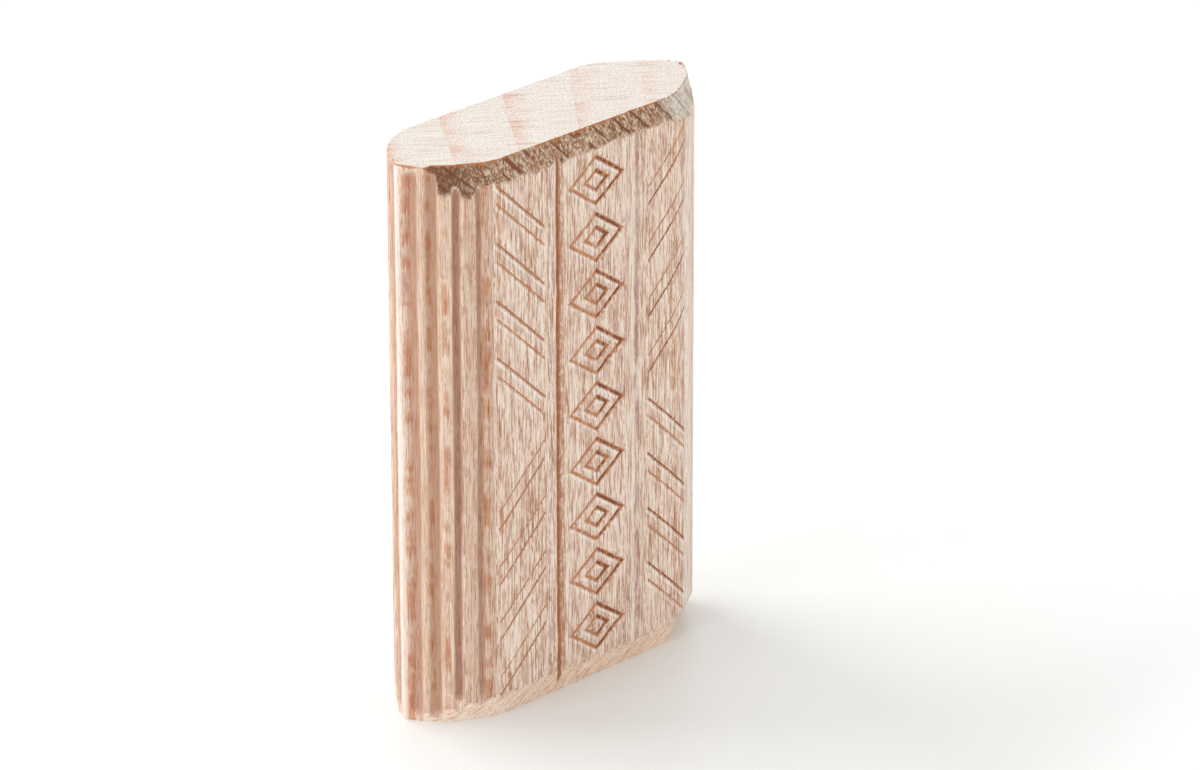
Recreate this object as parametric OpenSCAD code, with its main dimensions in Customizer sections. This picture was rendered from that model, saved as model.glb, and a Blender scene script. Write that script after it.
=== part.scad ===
// Loose tenon: a flat beech tenon, rounded and fluted along both edges, chamfered at both ends,
// with a pressed pattern on both broad faces. It stands on one end, with the grain along Z,
// the width along X and the thickness along Y.

/* [Tenon] */
// Length along the grain
length = 36; // [16:1:60]
// Width from tip to tip of the rounded edges
width = 23.4; // [16:0.2:40]
// Thickness between the broad faces
thickness = 8; // [4:0.5:12]

/* [Rounded edges] */
// How far the centre of each edge arc lies past the middle plane (0 gives a plain half-round edge)
tip_sharpness = 1.65; // [0:0.05:3]

/* [End chamfers] */
// Length of the chamfer along the grain
chamfer_length = 1.6; // [0.5:0.1:4]
// Depth of the chamfer on each broad face
chamfer_depth = 0.35; // [0.1:0.05:1]
// How soon the chamfer fades out round the corner (0 carries it round to the tip)
chamfer_fade = 0.55; // [0:0.05:1.5]

/* [Flutes] */
// Flutes along each rounded edge
flutes = 8; // [2:2:8]
// Distance between flutes, along the edge arc
flute_pitch = 1.43; // [1:0.01:2]
// Radius of a flute's hollow
flute_radius = 0.42; // [0.2:0.02:0.5]
// Depth of a flute
flute_depth = 0.38; // [0.1:0.02:0.5]
// Depth of the flutes next to the broad faces
outer_flute_depth = 0.2; // [0.05:0.05:0.4]

/* [Pressed pattern] */
// Width of a pressed groove at the face
groove_width = 0.42; // [0.2:0.02:0.8]
// Depth of a pressed groove
groove_depth = 0.22; // [0.05:0.01:0.5]
// How far the pattern lies off the middle of the face
pattern_shift = 0.6; // [-1.5:0.1:1.5]
// Half of the width of the band between the two long grooves
band_half = 3.1; // [2:0.1:4]
// Distance from the middle of the band to the near end of a slanted stroke
stroke_start = 4.3; // [3.5:0.1:5.5]
// How far a slanted stroke runs sideways
stroke_run = 3.6; // [1:0.1:4]
// How far a slanted stroke rises
stroke_rise = 3.5; // [1:0.1:4]
// Distance between the two strokes of a pair
pair_gap = 1.15; // [0.6:0.05:1.6]
// Distance between pairs of strokes, and between lozenges
pattern_pitch = 3.65; // [2.5:0.05:6]
// Height of the first pair of strokes above and below the middle
first_pair = 3.2; // [2:0.1:6]
// Half of the width of a lozenge
lozenge_half_width = 2.1; // [0.8:0.1:2.5]
// Half of the height of a lozenge
lozenge_half_height = 1.5; // [0.6:0.1:1.8]
// Size of the small lozenge inside, as a share of the large one
inner_lozenge = 0.42; // [0.2:0.02:0.7]

/* [Hidden] */
$fn = 96;
wood = "#dfbd9c";
cut = 1;                                            // how far a cutter runs past the wood
arc_y = tip_sharpness;                              // each edge is two arcs that meet at its tip
arc_r = thickness / 2 + arc_y;
arc_x = width / 2 - sqrt(arc_r * arc_r - arc_y * arc_y);
tip_angle = acos(arc_y / arc_r);                    // turn of an arc from its broad face to the tip
flute_step = flute_pitch / arc_r * 180 / PI;
fade_y = arc_y + chamfer_fade;                      // centre of the cone that cuts a corner's chamfer
fade_r = thickness / 2 + fade_y;
chamfer_slope = chamfer_depth / chamfer_length;
pair_count = floor((length / 2 - first_pair) / pattern_pitch);
lozenge_count = floor((length / 2 - lozenge_half_height) / pattern_pitch);

// Section of the tenon without its flutes: a flat bar between two pointed round edges
module section() {
    square([2 * arc_x, thickness], center = true);
    for (side = [-1, 1])
        translate([side * arc_x, 0])
            intersection_for (face = [-1, 1])
                translate([0, face * arc_y]) circle(arc_r);
}

// One flute's hollow, at its angle round the arc from the broad face at -Y
module flute(angle, depth) {
    out = arc_r - depth + flute_radius;
    translate([arc_x + out * sin(angle), arc_y - out * cos(angle)]) circle(flute_radius);
}

// All flutes of both edges, evenly spaced from each tip towards the faces
module flute_rows() {
    per_arc = flutes / 2;
    for (side = [0, 1], face = [0, 1], i = [0 : per_arc - 1])
        mirror([side, 0]) mirror([0, face])
            flute(tip_angle - (i + 0.5) * flute_step,
                  i == per_arc - 1 ? outer_flute_depth : flute_depth);
}

// The fluted bar, before its ends and faces are worked
module fluted_bar() {
    linear_extrude(length) difference() {
        section();
        flute_rows();
    }
}

// What a chamfered end leaves: the cones that round its corners, joined by two slanted planes.
// It is built upwards, with z = 0 where the chamfer starts.
module end_envelope() {
    top = chamfer_length + cut;
    inset = chamfer_slope * top;
    flare = chamfer_slope * cut;
    for (side = [-1, 1])
        translate([side * arc_x, 0, -cut])
            intersection_for (face = [-1, 1])
                translate([0, face * fade_y]) cylinder(top + cut, fade_r + flare, fade_r - inset);
    half = thickness / 2;
    rotate([90, 0, 90]) linear_extrude(2 * arc_x, center = true)
        polygon([[-half - flare, -cut], [half + flare, -cut], [half - inset, top], [-half + inset, top]]);
}

// What is cut away to chamfer the upper end
module end_chamfer() {
    translate([0, 0, length - chamfer_length]) difference() {
        translate([-width, -thickness, 0]) cube([2 * width, 2 * thickness, chamfer_length + cut / 2]);
        end_envelope();
    }
}

// One pressed V-groove, drawn flat from one point to another, with the face at z = 0
module groove(from, to) {
    run = to - from;
    flare = groove_width / 2 * (1 + cut / groove_depth);
    translate(from) rotate(atan2(run.y, run.x))
        rotate([90, 0, 90]) linear_extrude(norm(run))
            polygon([[0, -groove_depth], [flare, cut], [-flare, cut]]);
}

// A closed lozenge of four grooves about its centre
module lozenge(centre, size) {
    corners = [for (i = [0 : 4]) centre + [size.x * cos(90 * i), size.y * sin(90 * i)]];
    for (i = [0 : 3]) groove(corners[i], corners[i + 1]);
}

// The two long grooves that frame the band
module frame_grooves() {
    for (side = [-1, 1]) groove([side * band_half, -cut], [side * band_half, length + cut]);
}

// Pairs of slanted strokes on both sides of the band, all pointing to the middle of the length
module stroke_pairs() {
    for (side = [-1, 1], half = [-1, 1], i = [0 : pair_count - 1], gap = [-1, 1]) {
        height = length / 2 + half * (first_pair + i * pattern_pitch) + gap * pair_gap / 2;
        near = [side * stroke_start, height - half * stroke_rise / 2];
        groove(near, near + [side * stroke_run, half * stroke_rise]);
    }
}

// A chain of lozenges along the band, each with a smaller one inside
module lozenge_chain() {
    size = [lozenge_half_width, lozenge_half_height];
    for (i = [-lozenge_count : lozenge_count], share = [1, inner_lozenge])
        lozenge([0, length / 2 + i * pattern_pitch], share * size);
}

// Everything pressed into the broad face at -Y
module pressed_face() {
    translate([pattern_shift, -thickness / 2, 0]) rotate([90, 0, 0]) {
        frame_grooves();
        stroke_pairs();
        lozenge_chain();
    }
}

// The whole tenon, one piece of wood
module tenon() {
    color(wood) difference() {
        fluted_bar();
        end_chamfer();
        translate([0, 0, length]) mirror([0, 0, 1]) end_chamfer();
        for (turn = [0, 180]) rotate(turn) pressed_face();
    }
}

tenon();
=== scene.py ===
"""A loose tenon in beech, dressed for the camera: one piece of wood, standing on one end.

The grain runs along Z, the width along X and the thickness along Y. Sizes in this file are in
millimetres, and become metres where a mesh, a light or the camera is made.
"""
import math
from functools import partial

import bpy
from mathutils import Matrix, Vector


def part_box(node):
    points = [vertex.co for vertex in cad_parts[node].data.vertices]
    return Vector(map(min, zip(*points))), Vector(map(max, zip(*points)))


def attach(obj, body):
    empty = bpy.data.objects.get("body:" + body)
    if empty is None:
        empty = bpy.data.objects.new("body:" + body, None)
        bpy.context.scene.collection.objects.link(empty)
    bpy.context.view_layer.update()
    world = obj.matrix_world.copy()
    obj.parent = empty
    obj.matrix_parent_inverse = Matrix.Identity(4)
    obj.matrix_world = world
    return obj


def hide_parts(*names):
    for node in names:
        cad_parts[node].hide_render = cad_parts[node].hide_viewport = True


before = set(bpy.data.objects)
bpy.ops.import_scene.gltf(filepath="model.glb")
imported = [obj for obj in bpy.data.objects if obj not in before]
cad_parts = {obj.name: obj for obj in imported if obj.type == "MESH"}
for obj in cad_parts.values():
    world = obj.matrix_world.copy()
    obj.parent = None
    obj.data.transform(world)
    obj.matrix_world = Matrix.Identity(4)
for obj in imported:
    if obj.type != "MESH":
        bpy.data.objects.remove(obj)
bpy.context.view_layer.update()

MM = 0.001

# The tenon's own sizes, as in the part's source, with the three main ones read off the frame
WIDTH, THICKNESS, LENGTH = (round((high - low) / MM, 2) for low, high in zip(*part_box("tenon")))
ARC_Y = 1.65                                    # each edge is two arcs that meet in a blunt point
ARC_R = THICKNESS / 2 + ARC_Y
ARC_X = WIDTH / 2 - math.sqrt(ARC_R**2 - ARC_Y**2)
TIP = math.acos(ARC_Y / ARC_R)                  # turn of an arc from its broad face to the tip
FLUTE_PITCH = 1.43
FLUTE_STEP = FLUTE_PITCH / ARC_R
CHAMFER_LENGTH, CHAMFER_DEPTH, CHAMFER_FADE = 1.6, 0.35, 0.55
GROOVE_DEPTH = 0.22
PATTERN_SHIFT, BAND_HALF = 0.6, 3.1
STROKE_START, STROKE_RUN, STROKE_RISE = 4.3, 3.6, 3.5
PAIR_GAP, PITCH, FIRST_PAIR = 1.15, 3.65, 3.2
LOZENGE_W, LOZENGE_H, LOZENGE_INNER = 2.1, 1.5, 0.42
PAIRS = int((LENGTH / 2 - FIRST_PAIR) / PITCH)
LOZENGES = int((LENGTH / 2 - LOZENGE_H) / PITCH)
# The flutes from the tip to the face: how far each leans to the face as a share of the step, its
# depth, and its reach on the side of the tip and on the side of the face
FLUTES = ((0.2, 0.36, 0.58, 0.36),
          (0.08, 0.4, 0.55, 0.26),
          (0.03, 0.46, 0.3, 0.26),
          (0.02, 0.28, 0.22, 0.2))
FLUTE_FULL = 0.38                               # a hollow this deep counts as full in the colour
# The rays lie at this turn from X, and the growth rings run across them, this far apart
RAY_TURN = math.radians(-36)
RING_GAP = 4.05
# The pressed lines wander sideways by half of this either way, in mm
LINE_WANDER = 0.12
LIGHT_DISTANCE = 450.0
FLOOR_HALF = 3.0                                # in metres


def linear(text, alpha=1.0):
    """An sRGB hex colour as the linear values that a socket takes."""
    parts = [int(text[i:i + 2], 16) / 255 for i in (1, 3, 5)]
    return [c / 12.92 if c <= 0.04045 else ((c + 0.055) / 1.055) ** 2.4 for c in parts] + [alpha]


def add(tree, kind, *inputs, out=0, **settings):
    """Adds a node, its settings and its links, and returns an output, or all of them for out=None.

    A kind in capitals is a Math operation. Inputs fill the sockets in use in their order; a setting
    that is a socket's name fills that one. A value is a number, a colour, or another node's output.
    """
    if kind.isupper():
        kind, settings["operation"] = "ShaderNodeMath", kind
    node = tree.nodes.new(kind)
    for name, value in settings.items():
        if name not in node.inputs:
            setattr(node, name, value)
    sockets = [s for s in node.inputs if s.enabled]
    named = [(node.inputs[n], v) for n, v in settings.items() if n in node.inputs]
    for socket, value in list(zip(sockets, inputs)) + named:
        if isinstance(value, bpy.types.NodeSocket):
            tree.links.new(value, socket)
        elif value is not None:
            socket.default_value = value
    if out is None:
        return node.outputs
    return [o for o in node.outputs if o.enabled][out] if isinstance(out, int) else node.outputs[out]


def adders(tree):
    """The adder of one tree, and its soft step, used as soft(value, start, end, low, high)."""
    m = partial(add, tree)
    return m, partial(m, "ShaderNodeMapRange", interpolation_type="SMOOTHSTEP")


def between(m, value, start, full, fade, end, top=1):
    """A soft band: up from 0 to top between start and full, and down again between fade and end."""
    rise = m("ShaderNodeMapRange", value, start, full, 0, top, interpolation_type="SMOOTHSTEP")
    fall = m("ShaderNodeMapRange", value, fade, end, 1, 0, interpolation_type="SMOOTHSTEP")
    return m("MULTIPLY", rise, fall)


def over(m, amount, a, b, mode="MIX"):
    """Colour b over colour a by amount. A colour is a hex text or a node's output."""
    a, b = (linear(c) if isinstance(c, str) else c for c in (a, b))
    return m("ShaderNodeMix", amount, a, b, data_type="RGBA", blend_type=mode)


def noise(m, spot, detail=2, roughness=0.5, scale=1):
    """Soft noise from 0 to 1, where scale is the number of its grains in a unit of the spot."""
    return m("ShaderNodeTexNoise", spot, scale, detail, roughness, 2, 0)


def streaks(m, axes, scales, detail, roughness=0.5):
    """Noise drawn out along three axes of its own, each with its number of grains in a mm."""
    return noise(m, m("ShaderNodeCombineXYZ", *(m("MULTIPLY", a, s) for a, s in zip(axes, scales))),
                 detail, roughness)


def ray_and_ring(m, spot):
    """How far a point lies along the rays and along the growth rings, in mm."""
    axes = ((math.cos(RAY_TURN), math.sin(RAY_TURN), 0), (-math.sin(RAY_TURN), math.cos(RAY_TURN), 0))
    return [m("ShaderNodeVectorMath", spot, axis, operation="DOT_PRODUCT", out="Value") for axis in axes]


def pressed_lines(tree, x, z, reach):
    """How deep a point of a broad face lies in the pressed lines, from 0 on the face to 1.

    x runs across the face and z up from the lower end, in mm. reach is the size that the half widths
    of the lines are shares of. Three depths come back, for the long frame lines, the slanted strokes
    and the lozenges. In a pair of strokes and in a lozenge the side towards +X is pressed in harder,
    and of the two frame lines the one towards -X.
    """
    m, soft = adders(tree)
    x = m("SUBTRACT", x, PATTERN_SHIFT)
    z = m("SUBTRACT", z, LENGTH / 2)
    out, up, side = m("ABSOLUTE", x), m("ABSOLUTE", z), m("SIGN", x)

    def pressed(off, width, half, spread):
        """A line's depth at this distance off its middle, full where half has the sign of spread."""
        return m("MULTIPLY", soft(off, 0, reach * width, 1, 0),
                 m("MULTIPLY_ADD", half, spread, 1 - abs(spread)))

    frame_line = pressed(m("ABSOLUTE", m("SUBTRACT", out, BAND_HALF)), 1.4, side, -0.3)

    run = m("DIVIDE", m("SUBTRACT", out, STROKE_START), STROKE_RUN)
    along = m("MULTIPLY_ADD", run, -STROKE_RISE, m("SUBTRACT", up, FIRST_PAIR - STROKE_RISE / 2))
    pair = m("MINIMUM", m("MAXIMUM", m("ROUND", m("DIVIDE", along, PITCH)), 0), PAIRS - 1)
    along = m("MULTIPLY_ADD", pair, -PITCH, along)
    turn = math.cos(math.atan2(STROKE_RISE, STROKE_RUN))
    stroke = m("MULTIPLY", m("ABSOLUTE", m("SUBTRACT", m("ABSOLUTE", along), PAIR_GAP / 2)), turn)
    ends = m("SUBTRACT", m("ABSOLUTE", m("SUBTRACT", run, 0.5)), 0.5)
    stroke = m("MAXIMUM", stroke, m("MULTIPLY", ends, STROKE_RUN))
    hard = m("MULTIPLY", side, m("SIGN", along))
    stroke = pressed(stroke, 0.68, hard, -0.18)

    place = m("MINIMUM", m("MAXIMUM", m("ROUND", m("DIVIDE", z, PITCH)), -LOZENGES), LOZENGES)
    height = m("ABSOLUTE", m("MULTIPLY_ADD", place, -PITCH, z))
    size = m("ADD", m("DIVIDE", out, LOZENGE_W), m("DIVIDE", height, LOZENGE_H))
    steep = 1 / math.hypot(1 / LOZENGE_W, 1 / LOZENGE_H)
    rings = [m("ABSOLUTE", m("SUBTRACT", size, share)) for share in (1, LOZENGE_INNER)]
    lozenge = pressed(m("MULTIPLY", m("MINIMUM", *rings), steep), 1.3, side, 0.18)
    return frame_line, stroke, lozenge


def tenon_tree(wall, end):
    """Geometry Nodes that turn a flat grid and two discs into the whole tenon, by its own sizes."""
    tree = bpy.data.node_groups.new("fluted tenon", "GeometryNodeTree")
    tree.interface.new_socket("Geometry", in_out="OUTPUT", socket_type="NodeSocketGeometry")
    values = {}
    for name, kind, value in (
            ("Length", "Float", LENGTH), ("Arc Radius", "Float", ARC_R), ("Arc Centre X", "Float", ARC_X),
            ("Arc Centre Y", "Float", ARC_Y), ("Tip Angle", "Float", TIP),
            ("Flute Step", "Float", FLUTE_STEP),
            ("Chamfer Length", "Float", CHAMFER_LENGTH), ("Chamfer Depth", "Float", CHAMFER_DEPTH),
            ("Groove Depth", "Float", GROOVE_DEPTH), ("Points Round", "Int", 512),
            ("Points Up", "Int", 190), ("Seed", "Int", 7)):
        socket = tree.interface.new_socket(name, in_out="INPUT", socket_type="NodeSocket" + kind)
        socket.default_value = value
        values[socket.identifier] = value
    given = tree.nodes.new("NodeGroupInput").outputs
    m, soft = adders(tree)
    tip, radius = given["Tip Angle"], given["Arc Radius"]
    arc_x, arc_y = given["Arc Centre X"], given["Arc Centre Y"]

    # A flat sheet for the wall and a disc for each end, all laid out by turn (x) and height (y)
    sheet = m("GeometryNodeMeshGrid", 1, 1, m("ADD", given["Points Round"], 1), given["Points Up"])
    discs = []
    for height in (-0.5, 0.5):
        disc = m("GeometryNodeMeshCircle", given["Points Round"], 1, fill_type="NGON")
        way_round = m("DIVIDE", m("GeometryNodeInputIndex"), given["Points Round"])
        spot = m("ShaderNodeCombineXYZ", m("SUBTRACT", way_round, 0.5), height, 0)
        disc = m("GeometryNodeSetPosition", disc, None, spot)
        if height < 0:
            disc = m("GeometryNodeFlipFaces", disc)
        discs.append(disc)
    joined = m("GeometryNodeJoinGeometry")
    for part in discs + [sheet]:
        tree.links.new(part, joined.node.inputs[0])

    # Where a point is: its share of a quarter of the outline, its quarter, and its height. The flat
    # part of the face takes flat_share of each quarter's points, and the last ends_length mm at each
    # end take ends_share of the rows
    flat_share, ends_share, ends_length = 0.44, 0.24, 2.3
    px, py, _ = m("ShaderNodeSeparateXYZ", m("GeometryNodeInputPosition"), out=None)
    turn = m("MULTIPLY", m("ADD", px, 0.5), 4)
    share = m("PINGPONG", turn, 1)
    side_x = m("SIGN", m("SUBTRACT", 2, turn))
    side_y = m("SIGN", m("SUBTRACT", 1, m("PINGPONG", turn, 2)))       # 1 on the face at -Y
    across = m("MULTIPLY", m("MINIMUM", m("DIVIDE", share, flat_share), 1), arc_x)
    angle = m("MAXIMUM", m("DIVIDE", m("SUBTRACT", share, flat_share), 1 - flat_share), 0)
    angle = m("MULTIPLY", angle, tip)
    middle = m("MULTIPLY", m("ABSOLUTE", py), 2)
    near = m("MULTIPLY", m("DIVIDE", m("SUBTRACT", 1, middle), ends_share), ends_length)
    half = m("DIVIDE", given["Length"], 2)
    far = m("MULTIPLY", m("DIVIDE", m("SUBTRACT", 1 - ends_share, middle), 1 - ends_share),
            m("SUBTRACT", half, ends_length))
    from_end = m("ADD", m("MINIMUM", near, ends_length), m("MAXIMUM", far, 0))
    z = m("MULTIPLY_ADD", m("SUBTRACT", half, from_end), m("SIGN", py), half)

    def outline(turned, back):
        """The point of one quarter of the section at this turn, as far inside the surface as back."""
        reach = m("SUBTRACT", radius, back)
        return (m("MULTIPLY_ADD", m("SINE", turned), reach, across),
                m("MULTIPLY_ADD", m("COSINE", turned), m("MULTIPLY", reach, -1), arc_y))

    x, y = outline(angle, 0)
    real_x, real_y = m("MULTIPLY", x, side_x), m("MULTIPLY", y, side_y)
    place = m("ShaderNodeCombineXYZ", real_x, real_y, z)
    seeded = m("ShaderNodeVectorMath", place, m("MULTIPLY", given["Seed"], 17.3), operation="ADD")

    def rough(sx, sy, sz, detail=2):
        """A soft random height from 0 to 1, with its grain size set by a scale on each axis."""
        spot = m("ShaderNodeVectorMath", seeded, (sx, sy, sz), operation="MULTIPLY")
        return noise(m, spot, detail)

    def shaken(value, amount, *grain):
        """The value with a soft random shift of up to half of amount either way."""
        return m("MULTIPLY_ADD", rough(*grain), amount, m("SUBTRACT", value, amount / 2))

    def by_turn(start, end, low, high):
        """A soft step along the rounded edge, by its turn in degrees from the broad face."""
        return soft(angle, math.radians(start), math.radians(end), low, high)

    # Flutes: hollows at nearly even steps from the tip, that wander a little along the grain
    wander = shaken(angle, 0.05, 0.25, 0.25, 0.09)
    worn = shaken(from_end, 0.9, 0.8, 0.8, 0.25)
    hollow = 0
    for i, (lean, deepest, to_tip, to_face) in enumerate(FLUTES):
        centre = m("MULTIPLY_ADD", given["Flute Step"], -(i + 0.5 + lean), tip)
        off = m("MULTIPLY", m("SUBTRACT", wander, centre), radius)
        off = m("MAXIMUM", m("DIVIDE", off, to_tip), m("DIVIDE", off, -to_face))
        bowl = m("MAXIMUM", m("SUBTRACT", 1, m("MULTIPLY", off, off)), 0)
        shut = soft(worn, 0, 0.9, 0.1, 1) if i < 2 else soft(worn, 1.1, 1.9, 0.1, 1)
        if i == len(FLUTES) - 1:        # the innermost flute all but misses the wood on one side
            shut = m("MULTIPLY", shut, soft(real_x, -2, 2, 1, 0.15))
        bowl = m("MULTIPLY", m("MULTIPLY", m("POWER", bowl, 0.7), deepest), shut)
        hollow = m("MAXIMUM", bowl, hollow)
    from_tip = m("DIVIDE", m("SUBTRACT", angle, tip), given["Flute Step"])
    crown = m("MULTIPLY_ADD", m("COSINE", m("MULTIPLY", from_tip, 2 * math.pi)), -0.03, 0.03)
    crown = m("MULTIPLY", crown, by_turn(14, 28, 0, 1))
    fibre = m("MULTIPLY", rough(2.6, 2.6, 0.2, 3), 0.05)
    upper = m("GREATER_THAN", py, 0)
    right = m("GREATER_THAN", real_x, 0)
    front = m("GREATER_THAN", side_y, 0)
    # The rim of each end is rubbed round, and the upper right tip has lost some chips
    rim = soft(from_end, 0, 0.14, 0.05, 0)
    chips = m("MULTIPLY", m("MULTIPLY", upper, right), by_turn(42, 62, 0, 1))
    chip_edge = m("MULTIPLY_ADD", rough(1.6, 1.6, 1.2), 1.2, from_end)
    chips = m("MULTIPLY", chips, soft(chip_edge, 0.65, 0.95, 1, 0))
    rim = m("MULTIPLY_ADD", chips, soft(rough(2.2, 2.2, 2.2), 0.42, 0.58, 0, 0.5), rim)
    back = m("ADD", m("ADD", hollow, crown), m("ADD", fibre, rim))
    x, y = outline(angle, back)

    # The pressed pattern, no nearer the middle plane than the depth of its lines
    face_x = m("MULTIPLY", real_x, side_y)
    line_x = shaken(face_x, LINE_WANDER, 0.5, 0.5, 0.22)
    frame_line, stroke, lozenge = pressed_lines(tree, line_x, z, 0.24)
    pressed = m("MAXIMUM", frame_line, m("MULTIPLY", stroke, 0.45))
    pressed = m("MAXIMUM", pressed, m("MULTIPLY", lozenge, 0.75))
    broken = soft(rough(1.3, 1.3, 0.5), 0.25, 0.6, 0.55, 1)
    depth = m("MULTIPLY", m("MULTIPLY", pressed, broken), given["Groove Depth"])
    y = m("MAXIMUM", y, m("SUBTRACT", depth, THICKNESS / 2))

    # The chamfers: a cone at each corner and a slanted plane between, crushed rather than cut
    fade_y = ARC_Y + CHAMFER_FADE
    fade_r = THICKNESS / 2 + fade_y
    slope = m("DIVIDE", given["Chamfer Depth"], given["Chamfer Length"])
    ragged = shaken(given["Chamfer Length"], 0.9, 1.1, 1.1, 0.3, 3)
    sagging = m("MULTIPLY", by_turn(14, 28, 0, 0.6), upper)     # it reaches lower at the upper corners
    into = m("MAXIMUM", m("SUBTRACT", m("ADD", ragged, sagging), from_end), 0)
    lumps = m("MULTIPLY", rough(3.5, 3.5, 2.5, 3), m("MULTIPLY_ADD", upper, 0.17, 0.03))
    crush = m("MULTIPLY", lumps, soft(into, 0, 0.3, 0, 1))
    limit = m("SUBTRACT", m("MULTIPLY_ADD", m("MULTIPLY", into, slope), -1, fade_r), crush)
    # All corners are knocked in a little, the lower front right one most, then the upper back right
    corner = m("MULTIPLY", by_turn(4, 32, 0, 1), by_turn(50, 71, 1, 0))
    knocked = m("MULTIPLY", m("MULTIPLY", right, front), m("SUBTRACT", 1, upper))
    knocked = m("MULTIPLY_ADD", knocked, 0.85, 0.12)
    back_right = m("MULTIPLY", m("MULTIPLY", upper, right), m("SUBTRACT", 1, front))
    knocked = m("MULTIPLY_ADD", back_right, 0.3, knocked)
    knocked = m("MULTIPLY", m("MULTIPLY", knocked, corner), soft(from_end, 0, 2.6, 1, 0))
    limit = m("SUBTRACT", limit, knocked)
    # On the upper end the chamfer stops before the left tip, sooner at the back than at the front
    whole = m("MULTIPLY", by_turn(0, 34, 0, 0.5), m("SUBTRACT", 1, front))
    whole = m("MULTIPLY_ADD", by_turn(51, 57, 0, 0.5), front, whole)
    whole = m("MULTIPLY", whole, m("SUBTRACT", 1, right))
    limit = m("ADD", limit, m("MULTIPLY", whole, upper))
    cx = m("MINIMUM", x, arc_x)
    dx, dy = m("SUBTRACT", x, cx), m("SUBTRACT", y, fade_y)
    reach = m("SQRT", m("ADD", m("MULTIPLY", dx, dx), m("MULTIPLY", dy, dy)))
    scale = m("MINIMUM", m("DIVIDE", limit, reach), 1)
    crushed = soft(m("SUBTRACT", reach, limit), 0.03, 0.12, 0, 1)
    x = m("MULTIPLY_ADD", dx, scale, cx)
    y = m("MULTIPLY_ADD", dy, scale, fade_y)

    made = joined
    for name, value in (("turn", m("DEGREES", wander)), ("hollow", m("DIVIDE", hollow, FLUTE_FULL)),
                        ("crushed", crushed)):
        made = m("GeometryNodeStoreNamedAttribute", made, None, name, value, data_type="FLOAT",
                 domain="POINT")
    spot = m("ShaderNodeCombineXYZ", m("MULTIPLY", x, side_x), m("MULTIPLY", y, side_y), z)
    spot = m("ShaderNodeVectorMath", spot, (MM, MM, MM), operation="MULTIPLY")
    made = m("GeometryNodeSetPosition", made, None, spot)
    made = m("GeometryNodeMergeByDistance", made, None, 0.002 * MM)
    made = m("GeometryNodeSetShadeSmooth", made, None, True, domain="FACE")
    sharp = m("FunctionNodeCompare", m("GeometryNodeInputMeshEdgeAngle"), math.radians(50),
              data_type="FLOAT", operation="GREATER_THAN")
    made = m("GeometryNodeSetShadeSmooth", made, sharp, False, domain="EDGE")
    ends = m("GREATER_THAN", m("GeometryNodeInputMeshFaceNeighbors"), 4)
    made = m("GeometryNodeSetShadeSmooth", made, ends, False, domain="FACE")
    made = m("GeometryNodeRealizeInstances", made)
    made = m("GeometryNodeSetMaterial", made, None, wall)
    made = m("GeometryNodeSetMaterial", made, ends, end)
    group_out = tree.nodes.new("NodeGroupOutput")
    tree.links.new(made, group_out.inputs[0])
    return tree, values


def new_material(name):
    """An empty material, its adder, its soft step and its object coordinates in mm."""
    mat = bpy.data.materials.new(name)
    mat.use_nodes = True
    mat.node_tree.nodes.clear()
    m, soft = adders(mat.node_tree)
    spot = m("ShaderNodeTexCoord", out="Object")
    spot = m("ShaderNodeVectorMath", spot, (1 / MM,) * 3, operation="MULTIPLY")
    return mat, m, soft, spot


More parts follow.
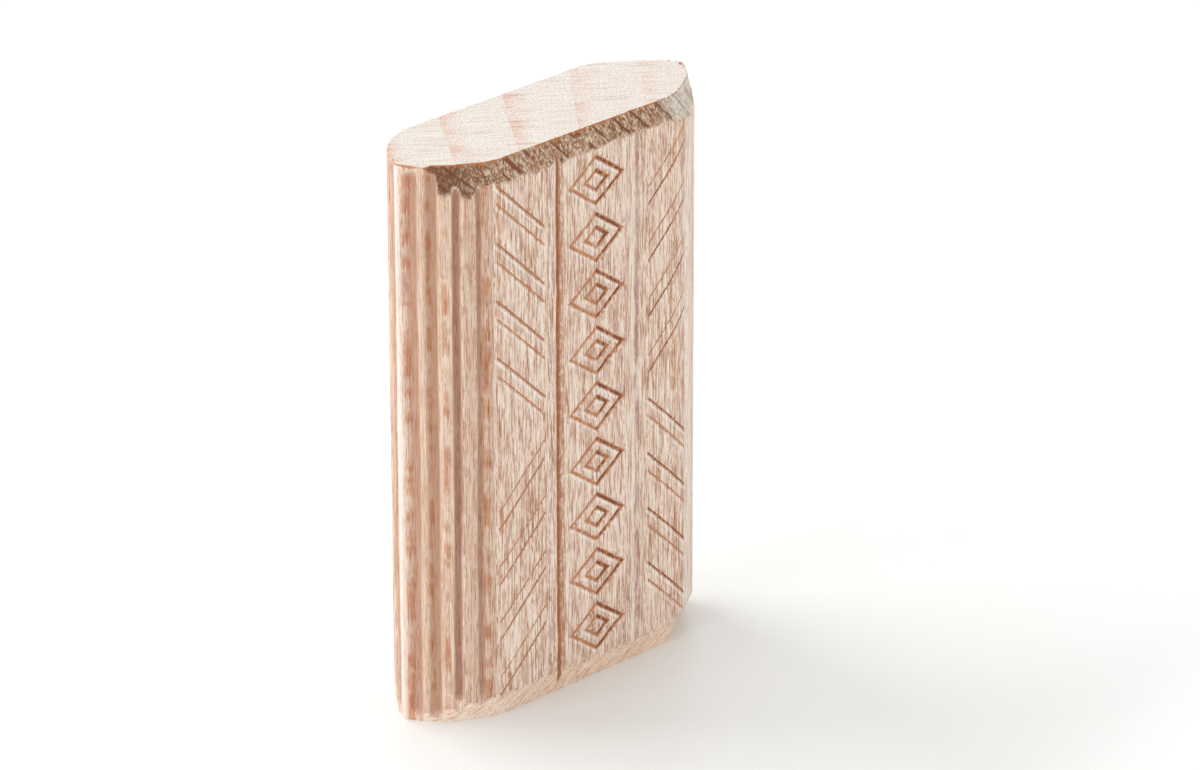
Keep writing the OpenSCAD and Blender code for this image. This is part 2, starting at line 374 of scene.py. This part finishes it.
def long_grain():
    """Beech cut along the grain and pressed: pale pinkish wood with a fibrous, matt face.

    The eye gets fine upright fibres, short reddish rays, orange-brown ray flecks where an edge turns
    along the rays, brown burnished hollows and scorched pressed lines that both carry painted shade,
    painted highlights and sheen, and grey crushed fibre at the chamfers.
    """
    mat, m, soft, spot = new_material("beech, long grain, pressed")
    blend, tree = partial(over, m), mat.node_tree
    x, y, z = m("ShaderNodeSeparateXYZ", spot, out=None)
    along_ray, along_ring = ray_and_ring(m, spot)
    hollow, crushed, turned = (
        m("ShaderNodeAttribute", attribute_name=n, out="Fac") for n in ("hollow", "crushed", "turn"))

    def grain(sx, sy, sz, detail=2, roughness=0.5):
        """Noise from 0 to 1 whose grains are 1/sx by 1/sy by 1/sz mm."""
        where = m("ShaderNodeVectorMath", spot, (sx, sy, sz), operation="MULTIPLY")
        return noise(m, where, detail, roughness)

    fibres = grain(13, 13, 0.5, 1)              # bundles of beech fibre, drawn 0.08 mm wide
    started = m("MULTIPLY_ADD", grain(13, 13, 0, 0), 9, m("MULTIPLY", z, 2.8))
    threads = m("ShaderNodeCombineXYZ", m("MULTIPLY", x, 14), m("MULTIPLY", y, 14), started)
    threads = noise(m, threads, 1)              # broken vessels, drawn 0.07 mm wide
    clouds = grain(0.8, 0.8, 0.12, 2)
    rays = soft(streaks(m, (along_ring, along_ray, z), (8, 1.6, 0.8), 1, 0.4), 0.6, 0.7, 0, 1)
    tone = m("MULTIPLY_ADD", fibres, 0.45, m("MULTIPLY_ADD", threads, 0.45, m("MULTIPLY", clouds, 0.1)))

    side = m("SIGN", y)
    worn = soft(turned, 30, 40, 1, 0.6)         # the fluted edges are rubbed smoother than the faces
    colour = blend(soft(tone, 0.48, 0.61, 0, worn), "#f3d7c3", "#b48263")
    colour = blend(soft(tone, 0.5, 0.38, 0, m("MULTIPLY", worn, 0.9)), colour, "#fff4e6")
    colour = blend(m("MULTIPLY", rays, m("MULTIPLY", worn, 0.5)), colour, "#b98270")

    # Flutes: the pressed hollows are darkened brown, partly burnish and partly painted shade, and ray
    # flecks show in strips along the ridges
    colour = blend(soft(hollow, 0.1, 1.0, 0, 0.6), colour, "#a96f4d")
    tanned = between(m, turned, 38, 42, 60, 64, 0.25)
    colour = blend(m("MULTIPLY", tanned, m("LESS_THAN", x, 0)), colour, "#c99f7a")
    # Painted shade: a darker band on the -X shoulder of the rounded edge
    shoulder = between(m, turned, 11, 15, 31, 35, 0.42)
    colour = blend(m("MULTIPLY", shoulder, m("LESS_THAN", x, 0)), colour, "#bb8b6b")
    # Painted sheen: a pale band on the +X shoulder, where light grazes it, and a paler strip along the
    # tip rib
    pale_tip_and_sheen = m("MULTIPLY", between(m, turned, 16, 24, 40, 48, 0.4), m("GREATER_THAN", x, 0))
    pale_tip_and_sheen = m("MAXIMUM", soft(turned, 69.5, 73, 0, 0.75), pale_tip_and_sheen)
    colour = blend(pale_tip_and_sheen, colour, "#fbf4ee")
    loose_turn = m("MULTIPLY_ADD", m("SUBTRACT", fibres, 0.5), 3, turned)
    loose_z = m("MULTIPLY_ADD", m("SUBTRACT", fibres, 0.5), 0.6, m("MULTIPLY", z, 0.62))
    for i, (start, end) in enumerate(((64.5, 70), (41, 46), (51.5, 55.5), (15.5, 21), (6.5, 10.5))):
        ridge = between(m, loose_turn, start, start + 1.5, end - 1.5, end)
        where = m("ShaderNodeCombineXYZ", m("MULTIPLY_ADD", side, 2.3, i * 7.7),
                  m("MULTIPLY", m("SIGN", x), 3.1), loose_z)
        patch = soft(noise(m, where, 2, 0.6), 0.46, 0.6, 0, 0.75)
        colour = blend(m("MULTIPLY", ridge, patch), colour, "#e6b795", "MULTIPLY")

    # Pressed lines: scorched orange-brown with ragged sides, and a painted highlight along one edge of
    # each
    face_x = m("MULTIPLY", m("MULTIPLY", x, side), -1)
    line_x = m("SUBTRACT", face_x, LINE_WANDER / 2)
    line_x = m("MULTIPLY_ADD", grain(0.5, 0.5, 0.22), LINE_WANDER, line_x)
    line_x = m("MULTIPLY_ADD", m("SUBTRACT", threads, 0.5), 0.07, line_x)
    on_face = m("MULTIPLY", soft(m("ABSOLUTE", y), 3.45, 3.6, 0, 1), m("SUBTRACT", 1, crushed))
    broken = soft(grain(5, 5, 3.0, 2), 0.3, 0.6, 0.5, 1)
    right = m("GREATER_THAN", face_x, PATTERN_SHIFT)
    frame_line, stroke, lozenge = (m("MULTIPLY", m("MULTIPLY", part, on_face), broken)
                                   for part in pressed_lines(tree, line_x, z, 0.17))
    # The +X frame line is coloured at half strength and the -X one in full, since painted shade falls in
    # the -X one
    frame_line = m("MULTIPLY", frame_line, m("MULTIPLY_ADD", right, -0.5, 1))
    line = m("MAXIMUM", m("MAXIMUM", frame_line, stroke), lozenge)
    # Painted highlight: a pale strip beside each line, on its side towards the light
    lip_highlights = pressed_lines(tree, m("ADD", line_x, 0.19), m("ADD", z, 0.13), 0.15)
    lip_highlight = m("MAXIMUM", m("MAXIMUM", lip_highlights[0], lip_highlights[1]), lip_highlights[2])
    lip_highlight = m("MULTIPLY", m("MULTIPLY", lip_highlight, on_face), m("SUBTRACT", 1, line))
    colour = blend(m("MULTIPLY", lip_highlight, soft(fibres, 0.4, 0.6, 0.95, 0.3)), colour, "#fffaf4")

    def beside(which, start, full, fade, end):
        """A strip of the face beside frame line -1 or 1, by its distances in mm towards +X from it."""
        off = m("SUBTRACT", m("SUBTRACT", line_x, PATTERN_SHIFT), which * BAND_HALF)
        return m("MULTIPLY", between(m, off, start, full, fade, end), on_face)

    # Beside the frame lines: a purple-grey band of painted shade right of the +X line and a painted
    # highlight just left of it, and a ragged orange-brown band right of the -X line, scorched and with
    # painted shade
    patchy = soft(grain(1.5, 1.5, 0.4, 2), 0.4, 0.6, 0.15, 0.6)
    colour = blend(m("MULTIPLY", beside(1, 0.05, 0.13, 0.36, 0.46), patchy), colour, "#a87f7c")
    colour = blend(m("MULTIPLY", beside(1, -0.16, -0.08, -0.02, 0.04), 0.6), colour, "#fff6ea")
    frayed = soft(grain(6, 6, 2.5, 2), 0.38, 0.56, 0.1, 0.7)
    colour = blend(m("MULTIPLY", beside(-1, 0.0, 0.08, 0.32, 0.5), frayed), colour, "#bd7d55")
    colour = blend(soft(line, 0.1, 0.45, 0, 0.9), colour, "#c88150")
    # Scorched and with painted shade: the harder pressed side of each stroke pair and each lozenge is
    # darkened
    deep = m("MAXIMUM", m("MULTIPLY", stroke, m("MULTIPLY_ADD", right, 0.4, 0.5)), lozenge)
    colour = blend(soft(deep, 0.5, 0.9, 0, 0.85), colour, "#7a3f24")
    # Scorched and with painted shade: the -X frame line darkened
    colour = blend(soft(frame_line, 0.4, 0.9, 0, 0.6), colour, "#99532e")

    # Upper chamfer: crushed fibre, brown on the left and grey-white on the right, dark in its scars from
    # crushed fibre and painted shade, its torn fibre ends drawn with painted shade and painted
    # highlights.
    # Lower chamfer: cut cleaner, with fine slanting lines, and lightened all over as painted bounce light
    # from the floor.
    across = m("ADD", m("MULTIPLY", face_x, 0.9), m("MULTIPLY", z, 0.43))
    along = m("SUBTRACT", m("MULTIPLY", z, 0.9), m("MULTIPLY", face_x, 0.43))
    crumbs = streaks(m, (across, along, y), (6, 1.5, 3), 2, 0.7)    # torn fibre ends, 0.16 mm
    specks = grain(9, 9, 5, 1)
    cloudy_x = m("MULTIPLY_ADD", m("SUBTRACT", clouds, 0.5), 4, x)
    pale = soft(cloudy_x, 5.5, 8, 0, 1)
    lit = soft(cloudy_x, -9.5, -6.5, 0.15, 0.6)
    torn = blend(soft(cloudy_x, -9.5, -6.5, 0, 1), "#784a2c", "#bd906c")
    torn = blend(m("MULTIPLY", soft(grain(1.1, 1.1, 1.1, 2), 0.48, 0.6, 0, 0.5), lit), torn, "#ab9781")
    torn = blend(m("MULTIPLY", pale, 0.85), torn, "#efe8db")
    # Painted shade between the torn fibre ends: dark crumbs and specks
    torn = blend(soft(crumbs, 0.47, 0.64, 0, m("MULTIPLY_ADD", pale, -0.35, 0.75)), torn, "#844c2a")
    torn = blend(soft(specks, 0.5, 0.66, 0, m("MULTIPLY_ADD", pale, -0.3, 0.6)), torn, "#6e3f24")
    # Painted highlights on the torn fibre ends, fewer towards the left
    torn = blend(m("MULTIPLY", soft(crumbs, 0.47, 0.33, 0, 1), lit), torn, "#ebdfc9")
    torn = blend(m("MULTIPLY", soft(specks, 0.46, 0.32, 0, 1), lit), torn, "#f0e6d4")
    slant = m("ADD", m("MULTIPLY", face_x, 0.73), m("MULTIPLY", z, 0.68))
    uneven = noise(m, m("ShaderNodeCombineXYZ", m("MULTIPLY", slant, 0.6), side, 0), 1)
    scar = m("PINGPONG", m("MULTIPLY_ADD", uneven, 2.4, slant), 0.62)   # about 1.2 mm from scar to scar
    scar = m("MULTIPLY", soft(scar, 0.04, 0.12, 1, 0), soft(grain(0.9, 0.9, 0.9, 2), 0.38, 0.46, 0, 1))
    torn = blend(m("MULTIPLY", scar, m("MULTIPLY_ADD", pale, -0.6, 0.95)), torn, "#874a26")
    lines_lean = m("SUBTRACT", z, m("MULTIPLY", face_x, 0.7)), m("ADD", face_x, z), y
    leaning = streaks(m, lines_lean, (7, 0.7, 2), 2, 0.6)
    # Painted bounce light: the lower chamfer's base colours are near white
    bounce_lit_bevel = blend(soft(cloudy_x, -8, -2, 0, 1), "#ffe9d6", "#fbdcc3")
    bounce_lit_bevel = blend(soft(leaning, 0.5, 0.68, 0, 0.6), bounce_lit_bevel, "#d09c78")
    bounce_lit_bevel = blend(soft(specks, 0.52, 0.7, 0, 0.5), bounce_lit_bevel, "#cf9d7e")
    bounce_lit_bevel = blend(soft(leaning, 0.44, 0.3, 0, 0.7), bounce_lit_bevel, "#fff8f0")
    bevel = blend(m("GREATER_THAN", z, LENGTH / 2), bounce_lit_bevel, torn)
    colour = blend(crushed, colour, bevel)
    rim = m("MULTIPLY_ADD", crumbs, 0.7, m("SUBTRACT", z, LENGTH + 0.2))
    rim = m("MULTIPLY", soft(rim, 0.0, 0.1, 0, 0.85), m("MULTIPLY_ADD", pale, -0.5, 1))
    colour = blend(rim, colour, "#c27a42")

    height = m("MULTIPLY_ADD", fibres, 0.8, m("MULTIPLY", threads, 0.4))
    height = m("MULTIPLY_ADD", rays, -0.2, height)
    height = m("MULTIPLY_ADD", line, -1.6, height)
    dents = m("MULTIPLY_ADD", scar, m("MULTIPLY", m("GREATER_THAN", z, LENGTH / 2), -1.2), crumbs)
    height = m("MULTIPLY_ADD", m("MULTIPLY", dents, crushed), 1.5, height)
    bump = m("ShaderNodeBump", 0.8, 0.06 * MM, None, height)
    shader = m("ShaderNodeBsdfPrincipled", **{"Base Color": colour, "Roughness": 0.75, "Normal": bump})
    m("ShaderNodeOutputMaterial", shader, out=None)
    return mat


def end_grain():
    """Beech sawn across the grain: a smooth cream face with pinkish growth-ring bands.

    The eye gets soft bands with one sharp side, fine ray lines across them, and a speckle of pores.
    """
    mat, m, soft, spot = new_material("beech, end grain, sawn")
    blend = partial(over, m)
    along_ray, along_ring = ray_and_ring(m, spot)
    rays = streaks(m, (along_ring, along_ray, 0), (8, 0.35, 1), 2, 0.6)
    pores = noise(m, spot, 1, 0.6, scale=8)
    clouds = noise(m, spot, scale=0.5)
    lean = m("MULTIPLY", m("ADD", along_ray, 4.5), m("MULTIPLY", along_ring, -0.01))
    place = m("ADD", m("ADD", along_ray, lean), 6.2)
    ring = m("FRACT", m("DIVIDE", m("ADD", place, 10 * RING_GAP), RING_GAP))
    band = between(m, ring, 0, 0.02, 0.02, 0.42)
    faint = between(m, m("SUBTRACT", place, 13.6), 0, 0.08, 0.08, 0.5, 0.7)
    band = m("MULTIPLY", m("MAXIMUM", band, faint), soft(clouds, 0.4, 0.6, 0.2, 1))
    band = m("MULTIPLY", band, soft(along_ray, -1, 6, 1, 0.45))
    colour = blend(soft(rays, 0.4, 0.6, 0, 1), "#d3cdc4", "#cbc3ba")
    colour = blend(m("MULTIPLY", band, 0.62), colour, "#c99d8b")
    lines = m("MULTIPLY", soft(rays, 0.54, 0.64, 0, 1), m("MULTIPLY_ADD", band, 0.6, 0.3))
    colour = blend(lines, colour, "#b57c68")
    colour = blend(soft(pores, 0.52, 0.68, 0, 0.45), colour, "#ae8e80")
    colour = blend(soft(pores, 0.47, 0.32, 0, 0.5), colour, "#ece8e0")
    height = m("MULTIPLY_ADD", pores, 0.6, m("MULTIPLY", rays, 0.4))
    bump = m("ShaderNodeBump", 0.35, 0.04 * MM, None, height)
    shader = m("ShaderNodeBsdfPrincipled", **{"Base Color": colour, "Roughness": 0.8, "Normal": bump})
    m("ShaderNodeOutputMaterial", shader, out=None)
    return mat


def make_tenon():
    """Runs the tree on an empty mesh and keeps its result as one plain, closed mesh."""
    wall, end = long_grain(), end_grain()
    tree, values = tenon_tree(wall, end)
    maker = bpy.data.objects.new("maker", bpy.data.meshes.new("maker"))
    bpy.context.scene.collection.objects.link(maker)
    modifier = maker.modifiers.new("fluted tenon", "NODES")
    modifier.node_group = tree
    for identifier, value in values.items():
        modifier[identifier] = value
    ready = maker.evaluated_get(bpy.context.evaluated_depsgraph_get())
    mesh = bpy.data.meshes.new_from_object(ready, preserve_all_data_layers=True,
                                           depsgraph=bpy.context.evaluated_depsgraph_get())
    mesh.name = "tenon wood"
    piece = bpy.data.objects.new("tenon_wood", mesh)
    bpy.context.scene.collection.objects.link(piece)
    bpy.data.objects.remove(maker)
    return piece


def make_floor():
    """A pale, matt studio floor that the tenon stands on."""
    mat, m, _, spot = new_material("matt white board")
    colour = over(m, noise(m, spot, scale=0.4), "#e5e6e4", "#e7e8e6")
    shader = m("ShaderNodeBsdfPrincipled", **{"Base Color": colour, "Roughness": 0.35})
    m("ShaderNodeOutputMaterial", shader, out=None)
    mesh = bpy.data.meshes.new("floor")
    r = FLOOR_HALF
    mesh.from_pydata([(-r, -r, 0), (r, -r, 0), (r, r, 0), (-r, r, 0)], [], [(0, 1, 2, 3)])
    mesh.materials.append(mat)
    floor = bpy.data.objects.new("floor", mesh)
    bpy.context.scene.collection.objects.link(floor)


def add_light(name, turn, lift, wide, tall, power):
    """A soft box aimed at the tenon's middle, turned from +X towards +Y and lifted, in degrees.

    wide and tall are its sides in mm, and power is in watts.
    """
    data = bpy.data.lights.new(name, "AREA")
    data.shape = "RECTANGLE"
    data.size, data.size_y = wide * MM, tall * MM
    data.energy = power
    lamp = bpy.data.objects.new(name, data)
    turn, lift = math.radians(turn), math.radians(lift)
    towards = Vector((math.cos(turn) * math.cos(lift), math.sin(turn) * math.cos(lift), math.sin(lift)))
    lamp.location = (towards * LIGHT_DISTANCE + Vector((0, 0, LENGTH / 2))) * MM
    lamp.rotation_euler = towards.to_track_quat("Z", "Y").to_euler()
    bpy.context.scene.collection.objects.link(lamp)


def light_studio():
    """A white surround, soft boxes behind the tenon and at its left end, and plain colours."""
    world = bpy.data.worlds.new("white studio")
    world.use_nodes = True
    back = world.node_tree.nodes["Background"]
    back.inputs["Color"].default_value = linear("#ffffff")
    back.inputs["Strength"].default_value = 0.89
    bpy.context.scene.world = world
    add_light("key, a wide strip high behind", 112, 50, 320, 50, 0.95)
    add_light("soft box, left end", 175, 35, 250, 100, 0.4)
    add_light("high soft box, back right", 45, 50, 300, 300, 0.15)
    bpy.context.scene.view_settings.view_transform = "Standard"


def place_camera():
    """A long lens that looks down on the tenon from its front left, with the floor behind it."""
    heading, pitch, roll = math.radians(46.28), math.radians(24.56), math.radians(-0.09)
    ahead, up = Vector((math.cos(heading), math.sin(heading), 0)), Vector((0, 0, 1))
    right = Vector((math.sin(heading), -math.cos(heading), 0))
    look = ahead * math.cos(pitch) - up * math.sin(pitch)
    top = ahead * math.sin(pitch) + up * math.cos(pitch)
    right, top = (right * math.cos(roll) + top * math.sin(roll),
                  top * math.cos(roll) - right * math.sin(roll))
    target, distance = Vector((1.978, -2.8, 18.562)), 417.39
    place = (target - look * distance) * MM
    data = bpy.data.cameras.new("camera")
    data.sensor_width, data.lens = 36, 209.5
    data.clip_start, data.clip_end = 0.01, 20
    camera = bpy.data.objects.new("camera", data)
    camera.matrix_world = Matrix.Translation(place) @ Matrix((right, top, -look)).transposed().to_4x4()
    bpy.context.scene.collection.objects.link(camera)
    bpy.context.scene.camera = camera


tenon = make_tenon()
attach(tenon, "root")
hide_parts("tenon")
make_floor()
light_studio()
place_camera()
